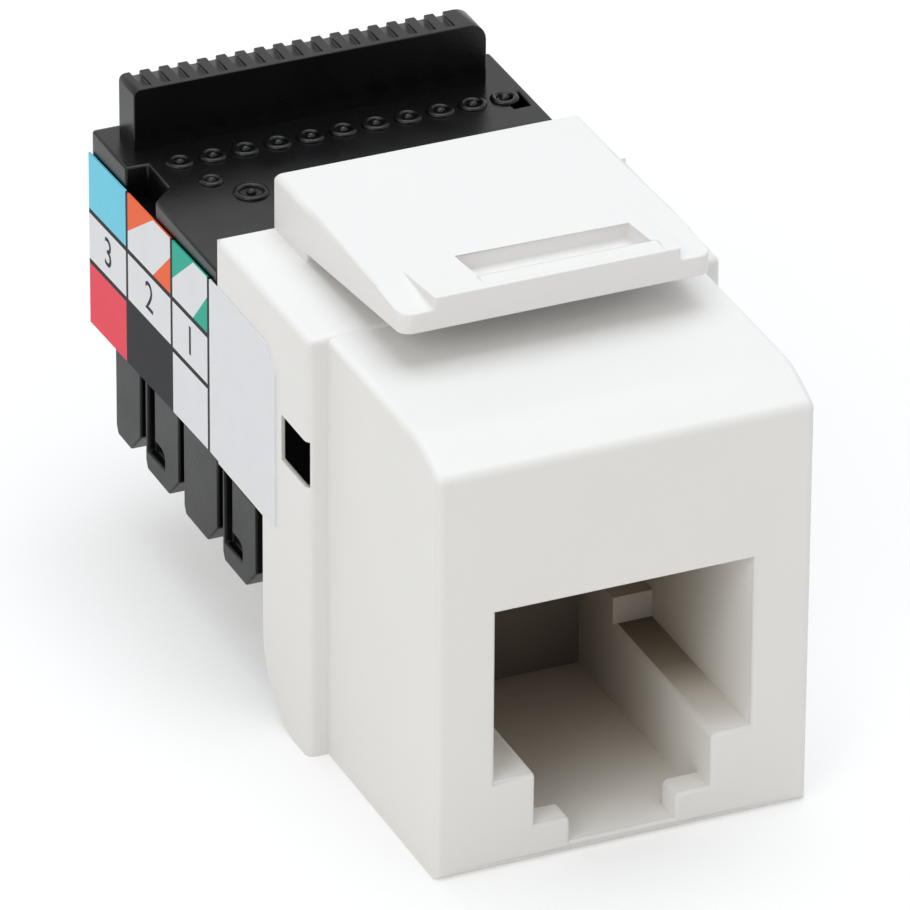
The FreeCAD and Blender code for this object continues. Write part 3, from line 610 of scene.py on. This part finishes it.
def make_latch():
    """Root and arm of the latch in one, with the plate slot, its ramped lip and the corner lugs."""
    left, right = ARM_LOW[0], ARM_HIGH[0]
    tip, root, lip_top = ARM_LOW[1], HOUSING_HIGH[1], ARM_HIGH[2]
    latch = block("plate_latch", (left, HINGE.y, COLLAR_TOP - SHELL_WALL / 2), (right, root, LATCH_TOP))
    cut(latch, (0, 0, HINGE.z), (0, 0, 1))
    pick_faces(latch, lambda face: face.normal.y < -0.9 and face.calc_center_median().z > HINGE.z)
    bpy.ops.mesh.extrude_region_move(TRANSFORM_OT_translate={"value": (0, tip - HINGE.y, 0)})
    shift(latch, lambda co: at(co.y, tip) and at(co.z, HINGE.z), (0, 0, TIP_UNDER - HINGE.z))
    for bend in (-0.5, -0.25, 0.25, 0.5):
        cut(latch, (0, HINGE.y + bend * MM, 0), (0, 1, 0))

    def outer(a, b):
        on_side = both_at(a.x, b.x, left) or both_at(a.x, b.x, right)
        along_top = on_side and both_at(a.z, b.z, LATCH_TOP)
        rear_top = both_at(a.y, b.y, root) and both_at(a.z, b.z, LATCH_TOP)
        return along_top or rear_top

    def tip_corner(a, b):
        return both_at(a.y, b.y, tip) and at(a.x, b.x)
    round_edges(latch, TIP_ROUND, 6, tip_corner)
    round_edges(latch, LATCH_ROUND, 5, outer)

    # the lip stands on a ramp that rises to the tip between the two corner lugs
    lip_rear = tip + LIP_DEPTH
    wedge = block("ramp", (left + LUG_WIDTH, tip, LATCH_TOP - SLOT_SINK / 2),
                  (right - LUG_WIDTH, tip + RAMP_RUN, LATCH_TOP))
    shift(wedge, lambda co: at(co.y, tip) and at(co.z, LATCH_TOP), (0, 0, lip_top - LATCH_TOP))
    combine(latch, wedge, "UNION")
    slot = block("slot", (SLOT_LEFT, lip_rear - LIP_ROOT, LATCH_TOP - SLOT_SINK),
                 (SLOT_RIGHT, lip_rear + SLOT_DEPTH, lip_top + MM))
    combine(latch, slot, "DIFFERENCE")
    lip = block("lip", (SLOT_LEFT - LIP_ROOT, tip, LATCH_TOP - SLOT_SINK - LIP_ROOT),
                (SLOT_RIGHT + LIP_ROOT, lip_rear, lip_top))
    round_edges(lip, LIP_ROUND, 4, lambda a, b: both_at(a.z, b.z, lip_top) and at(a.y, b.y))
    combine(latch, lip, "UNION")
    for inner, outward in ((left + LUG_WIDTH, left - MM), (right - LUG_WIDTH, right + MM)):
        step = block("lug_step", (min(inner, outward), tip - HAIR, LATCH_TOP - LUG_STEP),
                     (max(inner, outward), tip + RAMP_RUN, lip_top + MM))
        shift(step, lambda co: at(co.y, tip + RAMP_RUN) and co.z < LATCH_TOP, (0, 0, LUG_STEP + HAIR))
        combine(latch, step, "DIFFERENCE")
    tidy_mesh(latch)
    ramp_rear = tip + RAMP_RUN
    round_edges(latch, RIM_ROUND, 3,
                lambda a, b: not at(a.y, ramp_rear) and not at(b.y, ramp_rear), turn=35)
    even_out(latch)
    latch.data.materials.clear()
    latch.data.materials.append(WHITE)
    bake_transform(latch)
    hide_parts("latch_arm")
    return latch


# ---------------------------------------------------------------- black block and cover

LID_TOP = 15.7 * MM
WALL_LEFT, WALL_RIGHT = -7.2 * MM, 6.9 * MM
WALL_FRONT, WALL_REAR = 18.25 * MM, 19.75 * MM
WALL_TOP = COVER_HIGH[2]
WALL_ROUND_LEFT, WALL_ROUND_RIGHT = 0.25 * MM, 0.7 * MM
WALL_GROOVES = 17
GROOVE_START, GROOVE_MARGIN = 0.45 * MM, 1.2 * MM
GROOVE_WIDTH = 0.36 * MM
GROOVE_SINK = 0.16 * MM
GROOVE_SETBACK = 0.25 * MM
COVER_ROUND = 0.10 * MM
WALL_ROUND = 0.05 * MM
BARB_REACH = 7.1 * MM
BARB_PUSH = 0.22 * MM
BARB_GROW = 0.13 * MM
PLATE_GAP = 0.06 * MM
BLOCK_ROUND = 0.09 * MM
PIP_ROW = 16.8 * MM
PIPS = 11
PIP_LEFT, PIP_RIGHT = -6.0 * MM, 7.0 * MM
PIP_RADIUS, PIP_WIRE, PIP_DOT = 0.42 * MM, 0.14 * MM, 0.2 * MM
PIP_HEIGHT = 0.9


def make_block():
    """The black block; its snap barbs are duller and unreflecting, as painted shade of their deep windows,
    and the plate behind the port is painted a dark warm brown as the shade at the back of the port.
    """
    body = merged_copy("connector_block", "wire_block")
    barb_middle = (WINDOW_FRONT + WINDOW_REAR) / 2
    for sign in (-1, 1):
        def on_barb(co, sign=sign):
            return co.x * sign > BARB_REACH and co.y < WINDOW_REAR
        shift(body, on_barb, (BARB_PUSH * sign, 0, 0))
        shift(body, lambda co: on_barb(co) and co.y < barb_middle, (0, -BARB_GROW, 0))
        shift(body, lambda co: on_barb(co) and barb_middle < co.y, (0, BARB_GROW, 0))
    soften(body, BLOCK_ROUND)
    # its front plate closes up to the floor and the walls of the port
    plate_front, plate_base = PORT_REAR + PLATE_GAP, PORT_FLOOR + PLATE_GAP
    reach = BLOCK_ROUND + HAIR
    pick_corners(body, lambda co: co.y < plate_front + reach and co.z < plate_base + reach)
    bpy.ops.transform.resize(value=(1, 1, 0), center_override=(0, 0, PORT_FLOOR + HAIR))
    bpy.ops.object.mode_set(mode="OBJECT")
    shift(body, lambda co: at(co.y, plate_front), (0, HAIR - PLATE_GAP, 0))
    finish_piece(body, "housing", BLACK, "block_plastic", "connector_block")
    body.data.materials.append(BARB_BLACK_PAINTED_SHADE)
    body.data.materials.append(PORT_BACK_PAINTED_SHADE)
    for face in body.data.polygons:
        # barb faces get the unreflecting painted shade
        if face.center.y < WINDOW_REAR and abs(face.center.x) > BARB_REACH:
            face.material_index = 1
        # the plate's front faces get the painted shade of the port's back
        elif face.normal.y < -0.9 and face.center.y < PORT_REAR + SHELL_WALL:
            face.material_index = 2
    return body


def make_cover():
    """The lid over the board well, without its upright wall."""
    cover = merged_copy("top_cover", "block_cover")
    cut(cover, (0, 0, LID_TOP + HAIR), (0, 0, 1), clear=True)
    shift(cover, lambda co: co.z > LID_TOP + HAIR / 2, (0, 0, -HAIR))
    tidy_mesh(cover)
    soften(cover, COVER_ROUND)
    return finish_piece(cover, "housing", COVER_BLACK, "block_plastic", "top_cover")


def make_wall():
    """The lid's upright wall, with shallow grooves across its top."""
    wall = block("cover_wall", (WALL_LEFT, WALL_FRONT, LID_TOP - SHELL_WALL),
                 (WALL_RIGHT, WALL_REAR, WALL_TOP))
    round_edges(wall, WALL_ROUND_LEFT, 4,
                lambda a, b: both_at(a.z, b.z, WALL_TOP) and a.x + b.x < 2 * WALL_LEFT + HAIR)
    round_edges(wall, WALL_ROUND_RIGHT, 6,
                lambda a, b: both_at(a.z, b.z, WALL_TOP) and a.x + b.x > 2 * WALL_RIGHT - HAIR)
    pitch = (WALL_RIGHT - WALL_LEFT - GROOVE_MARGIN) / WALL_GROOVES
    for number in range(WALL_GROOVES):
        left = WALL_LEFT + GROOVE_START + pitch * number
        groove = block("groove", (left, WALL_FRONT + GROOVE_SETBACK, WALL_TOP - GROOVE_SINK),
                       (left + GROOVE_WIDTH, WALL_REAR + MM, WALL_TOP + MM))
        combine(wall, groove, "DIFFERENCE")
    soften(wall, WALL_ROUND)
    return finish_piece(wall, "housing", COVER_BLACK, "block_plastic")


def ring_pip(x, y, radius):
    """A raised ring with a dot in its middle, half sunk in the lid."""
    only()
    bpy.ops.mesh.primitive_torus_add(location=(x, y, LID_TOP), major_radius=radius,
                                     minor_radius=PIP_WIRE, major_segments=24, minor_segments=8)
    ring = settle(bpy.context.active_object)
    only()
    bpy.ops.mesh.primitive_uv_sphere_add(location=(x, y, LID_TOP), radius=PIP_DOT,
                                         segments=12, ring_count=8)
    dot = settle(bpy.context.active_object)
    return [ring, dot]


def make_pips():
    """A row of ring marks in front of the upright wall, and two more by the left edge."""
    pitch = (PIP_RIGHT - PIP_LEFT) / (PIPS - 1)
    marks = []
    for number in range(PIPS):
        marks += ring_pip(PIP_LEFT + pitch * number, PIP_ROW, PIP_RADIUS)
    marks += ring_pip(-5.5 * MM, 15.0 * MM, 0.34 * MM)
    marks += ring_pip(-4.5 * MM, 13.6 * MM, 0.55 * MM)
    only(*marks)
    bpy.ops.object.join()
    pips = bpy.context.active_object
    pips.name = "lid_pips"
    pips.data.transform(Matrix.Translation((0, 0, LID_TOP)) @ Matrix.Diagonal((1, 1, PIP_HEIGHT, 1))
                        @ Matrix.Translation((0, 0, -LID_TOP)))
    bpy.ops.object.shade_smooth()
    return finish_piece(pips, "housing", COVER_BLACK, "block_plastic")


# ---------------------------------------------------------------- labels

LABEL_FRONT, LABEL_REAR = LABEL_LOW[1], LABEL_HIGH[1]
LABEL_BASE, LABEL_TOP = LABEL_LOW[2], LABEL_HIGH[2]
ROWS = [LABEL_TOP, 12.8 * MM, 10.7 * MM, LABEL_BASE]
COLUMNS = [9.0 * MM, 12.5 * MM, 16.8 * MM, LABEL_REAR]
LINE = 0.2 * MM
SHEET = 0.075 * MM
LABEL_CORNER = 0.9 * MM
LABEL_SAG = 0.036
FIGURE_SIZE, FIGURE_DEPTH = 1.7 * MM, 0.005 * MM
UPPER_CUT = (0.60, 0.68)
LOWER_CUT = (0.56, 0.30)


def stripe_of(y, z, front, rear):
    """True where a striped cell is coloured, outside the pale band from lower rear to upper front."""
    along = (rear - y) / (rear - front)
    down = (ROWS[0] - z) / (ROWS[0] - ROWS[1])
    above = along / UPPER_CUT[0] + down / UPPER_CUT[1] < 1
    below = (1 - along) / (1 - LOWER_CUT[0]) + (1 - down) / (1 - LOWER_CUT[1]) < 1
    return above or below


def sag_at(y):
    """How far the label, stuck on a little askew, lies lower towards its rear."""
    return LABEL_SAG * max(0.0, y - COLUMNS[0])


def make_label(side_name, sign, colours, numbers):
    """A label sheet cut into ruled cells of ink, with one number in each middle cell."""
    low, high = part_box("label_" + side_name)
    back = min(abs(low[0]), abs(high[0])) * sign
    face_x = back + SHEET * sign
    sheet = block("side_label_" + side_name,
                  (min(back, face_x), LABEL_FRONT, LABEL_BASE), (max(back, face_x), LABEL_REAR, LABEL_TOP))
    cut(sheet, (0, LABEL_FRONT + LABEL_CORNER, LABEL_TOP), (0, -1, 1), clear=True)
    lines_z = ROWS[1:-1]
    lines_y = COLUMNS[:-1]
    for place in lines_z:
        for edge in (place - LINE / 2, place + LINE / 2):
            cut(sheet, (0, 0, edge), (0, 0, 1))
    for place in lines_y:
        for edge in (place - LINE / 2, place + LINE / 2):
            cut(sheet, (0, edge, 0), (0, 1, 0))
    for column in (0, 1):
        front, rear = COLUMNS[column], COLUMNS[column + 1]
        width, height = rear - front, ROWS[0] - ROWS[1]

        def in_cell(face, front=front, rear=rear):
            middle = face.calc_center_median()
            return front < middle.y < rear and middle.z > ROWS[1] and abs(face.normal.x) > 0.9
        upper = Vector((0, UPPER_CUT[1] * height, UPPER_CUT[0] * width))
        lower = Vector((0, (1 - LOWER_CUT[1]) * height, (1 - LOWER_CUT[0]) * width))
        cut(sheet, (0, rear - width * UPPER_CUT[0], ROWS[0]), upper, faces=in_cell)
        cut(sheet, (0, rear - width * LOWER_CUT[0], ROWS[1]), lower, faces=in_cell)
    names = list(INK)
    for name in names:
        sheet.data.materials.append(INK[name])

    def ink_of(middle):
        behind = middle.y > COLUMNS[0] + LINE / 2
        on_column = any(abs(middle.y - place) < LINE / 2 for place in lines_y)
        on_row = behind and any(abs(middle.z - place) < LINE / 2 for place in lines_z)
        if on_column or on_row:
            return "line"
        if not behind:
            return "paper"
        column = sum(middle.y > place for place in COLUMNS[1:-1])
        row = sum(middle.z < place for place in ROWS[1:-1])
        if row == 1:
            return "paper"
        if row == 2:
            return colours["third"][column]
        if column == 2:
            return colours["first"][2]
        coloured = stripe_of(middle.y, middle.z, COLUMNS[column], COLUMNS[column + 1])
        return colours["first"][column] if coloured else "paper"
    for face in sheet.data.polygons:
        face.material_index = names.index(ink_of(face.center))
    for vertex in sheet.data.vertices:
        vertex.co.z -= sag_at(vertex.co.y)
    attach(sheet, "housing")
    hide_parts("label_" + side_name)
    for column, number in enumerate(numbers):
        make_number(side_name, sign, face_x, column, number)


def make_number(side_name, sign, face_x, column, number):
    """One printed figure, upright in its middle cell."""
    only()
    bpy.ops.object.text_add()
    text = bpy.context.active_object
    text.data.body = str(number)
    text.data.size = FIGURE_SIZE
    text.data.align_x = "CENTER"
    text.data.align_y = "CENTER"
    text.data.extrude = FIGURE_DEPTH
    bpy.ops.object.convert(target="MESH")
    figure = bpy.context.active_object
    figure.name = "figure_%s_%d" % (side_name, number)
    middle_y = (COLUMNS[column] + COLUMNS[column + 1]) / 2
    middle_z = (ROWS[1] + ROWS[2]) / 2 - sag_at(middle_y)
    right = Vector((0, sign, 0))
    up = Vector((0, 0, 1))
    out = right.cross(up)
    turn = Matrix((right, up, out)).transposed().to_4x4()
    figure.data.transform(Matrix.Translation((face_x, middle_y, middle_z)) @ turn)
    finish_piece(figure, "housing", INK["line"], "label_paper")


# ---------------------------------------------------------------- contacts and inner pieces

WIRE_ROUND = 0.08 * MM


def make_contacts():
    """The six sprung wires, rounded like drawn wire, each on its own body."""
    for number in range(1, CONTACTS + 1):
        wire = merged_copy("contact_spring_%d" % number, "contact_wire_%d" % number)
        soften(wire, WIRE_ROUND)
        finish_piece(wire, "contact_%d" % number, GOLD, "contact_metal", "contact_spring_%d" % number)


def dress_inner_nodes():
    """Finishes of the CAD nodes that stay as they are."""
    finishes = {"contact_leads": GOLD, "contact_carrier": BLACK, "circuit_board": BOARD}
    for side_name in ("left", "right"):
        for number in range(1, PER_SIDE + 1):
            finishes["blade_%s_%d" % (side_name, number)] = TIN
    for name, material in finishes.items():
        mesh = frame["nodes"][name].data
        mesh.materials.clear()
        mesh.materials.append(material)


# ---------------------------------------------------------------- floor and light

FLOOR_LIFT = 0.40


def seen_directly(tree):
    """A socket that is 1 for camera, glossy and transmission rays, and 0 for the light that bounces."""
    path = node(tree, "ShaderNodeLightPath")
    sight = path.outputs["Is Camera Ray"]
    for kind in ("Is Glossy Ray", "Is Transmission Ray"):
        either = node(tree, "ShaderNodeMath", operation="MAXIMUM")
        tree.links.new(sight, either.inputs[0])
        tree.links.new(path.outputs[kind], either.inputs[1])
        sight = either.outputs[0]
    return sight


def make_floor():
    """Pale paper; what the camera sees of it is lifted towards white and keeps the shadow."""
    only()
    bpy.ops.mesh.primitive_plane_add(size=3, location=(0, 0, -HAIR))
    floor = settle(bpy.context.active_object)
    floor.name = "floor"
    material, tree, shader = new_material("floor_paper")
    shader.inputs["Base Color"].default_value = (0.95, 0.935, 0.90, 1)
    shader.inputs["Roughness"].default_value = 0.9
    shader.inputs["Specular IOR Level"].default_value = 0.1
    paper = node(tree, "ShaderNodeBsdfDiffuse")
    paper.inputs["Color"].default_value = (1 - FLOOR_LIFT, 1 - FLOOR_LIFT, 1 - FLOOR_LIFT, 1)
    glow = node(tree, "ShaderNodeEmission")
    glow.inputs["Strength"].default_value = FLOOR_LIFT
    lifted = node(tree, "ShaderNodeAddShader")
    tree.links.new(paper.outputs[0], lifted.inputs[0])
    tree.links.new(glow.outputs[0], lifted.inputs[1])
    pick = node(tree, "ShaderNodeMixShader")
    tree.links.new(seen_directly(tree), pick.inputs["Fac"])
    tree.links.new(shader.outputs[0], pick.inputs[1])
    tree.links.new(lifted.outputs[0], pick.inputs[2])
    tree.links.new(pick.outputs[0], tree.nodes["Material Output"].inputs["Surface"])
    floor.data.materials.append(material)


def area_lamp(name, place, target, size, power):
    data = bpy.data.lights.new(name, "AREA")
    data.size = size
    data.energy = power
    lamp = bpy.data.objects.new(name, data)
    bpy.context.scene.collection.objects.link(lamp)
    aim = Vector(target) - Vector(place)
    lamp.rotation_euler = aim.to_track_quat("-Z", "Y").to_euler()
    lamp.location = place
    return lamp


WORLD_LEVEL = 0.49


def make_light():
    """A pale surround and two large soft lamps: one overhead, one high at the front left."""
    world = bpy.data.worlds.new("studio")
    bpy.context.scene.world = world
    world.use_nodes = True
    tree = world.node_tree
    back = tree.nodes["Background"]
    back.inputs["Color"].default_value = (1, 1, 1, 1)
    level = node(tree, "ShaderNodeMapRange")
    level.inputs["To Min"].default_value = WORLD_LEVEL
    level.inputs["To Max"].default_value = 1.0
    tree.links.new(seen_directly(tree), level.inputs["Value"])
    tree.links.new(level.outputs["Result"], back.inputs["Strength"])
    lamp = area_lamp("overhead", (0.03, 0.06, 0.50), (0, 0, 0.01), 0.44, 1.62)
    lamp.data.color = (0.885, 0.95, 1.0)
    lamp = area_lamp("front_left", (-0.37, -0.27, 0.36), (0, 0, 0.01), 0.26, 0.63)
    lamp.data.color = (1.0, 0.985, 0.92)


# ---------------------------------------------------------------- everything in place

make_camera()
make_housing()
make_latch()
make_block()
make_cover()
make_wall()
make_pips()
make_label("left", -1,
           {"first": ("green", "orange", "blue"), "third": ("paper", "line", "red")}, (1, 2, 3))
make_label("right", 1,
           {"first": ("orange", "green", "brown"), "third": ("red", "line", "paper")}, (4, 5, 6))
make_contacts()
dress_inner_nodes()
make_floor()
make_light()
bpy.context.scene.view_settings.view_transform = "Standard"
